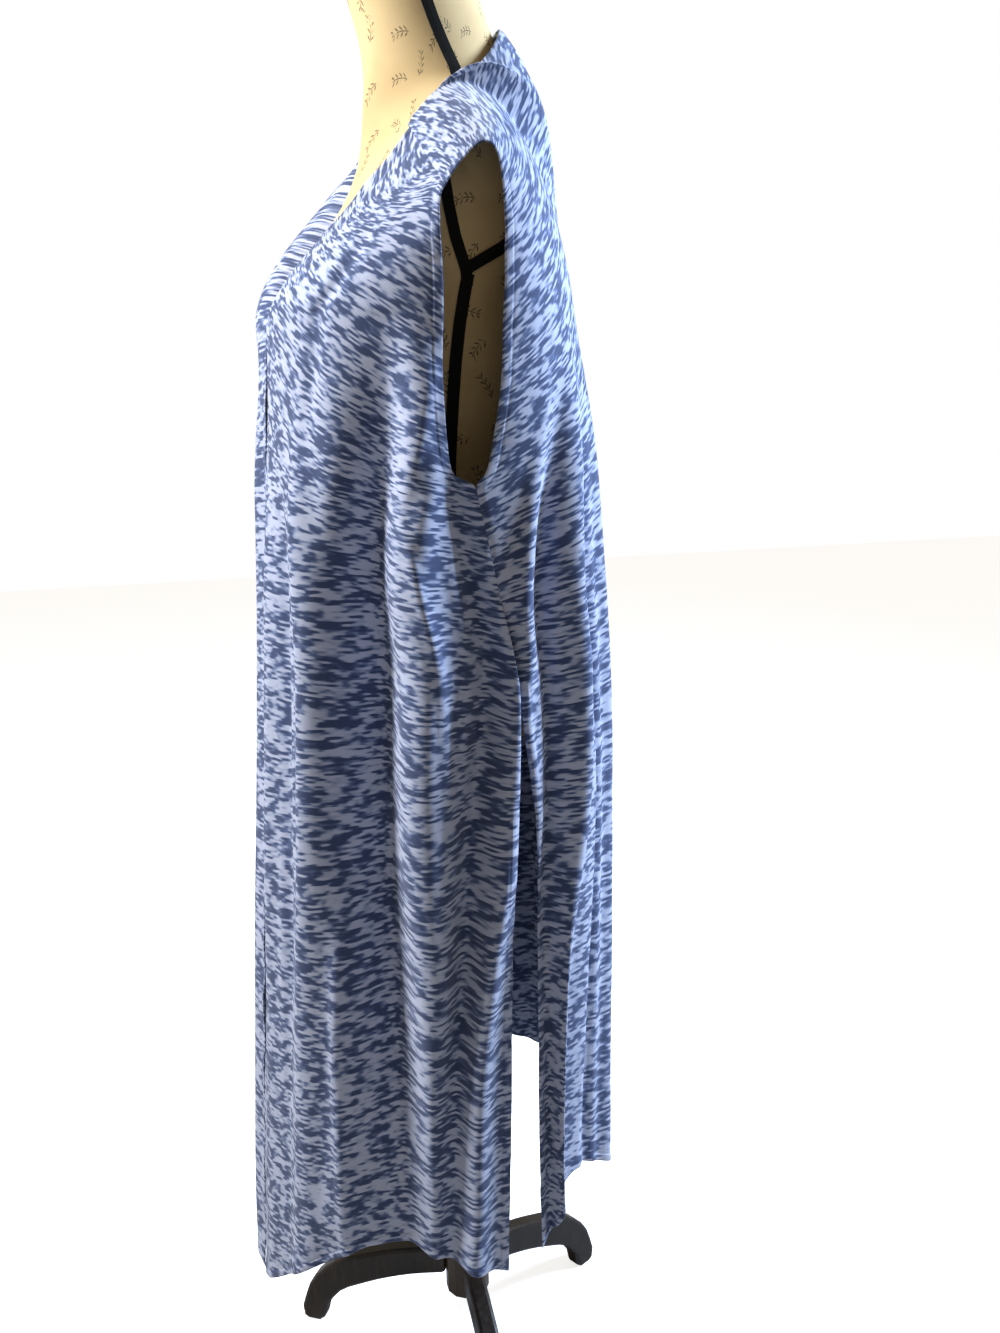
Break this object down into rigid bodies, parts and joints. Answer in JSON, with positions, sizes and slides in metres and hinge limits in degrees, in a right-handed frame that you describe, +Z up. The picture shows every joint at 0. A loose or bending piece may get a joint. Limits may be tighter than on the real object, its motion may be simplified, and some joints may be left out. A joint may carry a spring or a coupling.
{
  "type": "sleeveless duster cardigan on a dress form with a stand",
  "caption": "Long open-front sleeveless knit duster with a slanting neckline, side slits and a dipping hem, worn on a limbless dress form on a footed wooden stand.",
  "frame": {"origin": "centre of the footprint of the whole part, on the floor under the stand's feet", "axes": "+Z up along the stand's pole; -Y is the way the wearer faces, the open front of the cardigan; +X is the wearer's left"},
  "size_m": [0.4098, 0.4242, 1.492],
  "materials": {
    "knit_marl": "fine jersey in pale periwinkle with navy streaks along the courses",
    "form_cover": "cream cotton cover",
    "form_tape": "black woven tape",
    "stand_wood": "near-black stain, satin"
  },
  "bodies": {
    "root": {"cardigan_back": "knit_marl", "cardigan_front_left": "knit_marl", "cardigan_front_right": "knit_marl", "form_torso": "form_cover", "form_side_tape_left": "form_tape", "form_side_tape_right": "form_tape", "form_armhole_tape_left": "form_tape", "form_armhole_tape_right": "form_tape", "form_neck_tape_left": "form_tape", "form_neck_tape_right": "form_tape", "stand_pole": "stand_wood", "stand_hub": "stand_wood", "stand_leg_1": "stand_wood", "stand_leg_2": "stand_wood", "stand_leg_3": "stand_wood"}
  },
  "joints": []
}
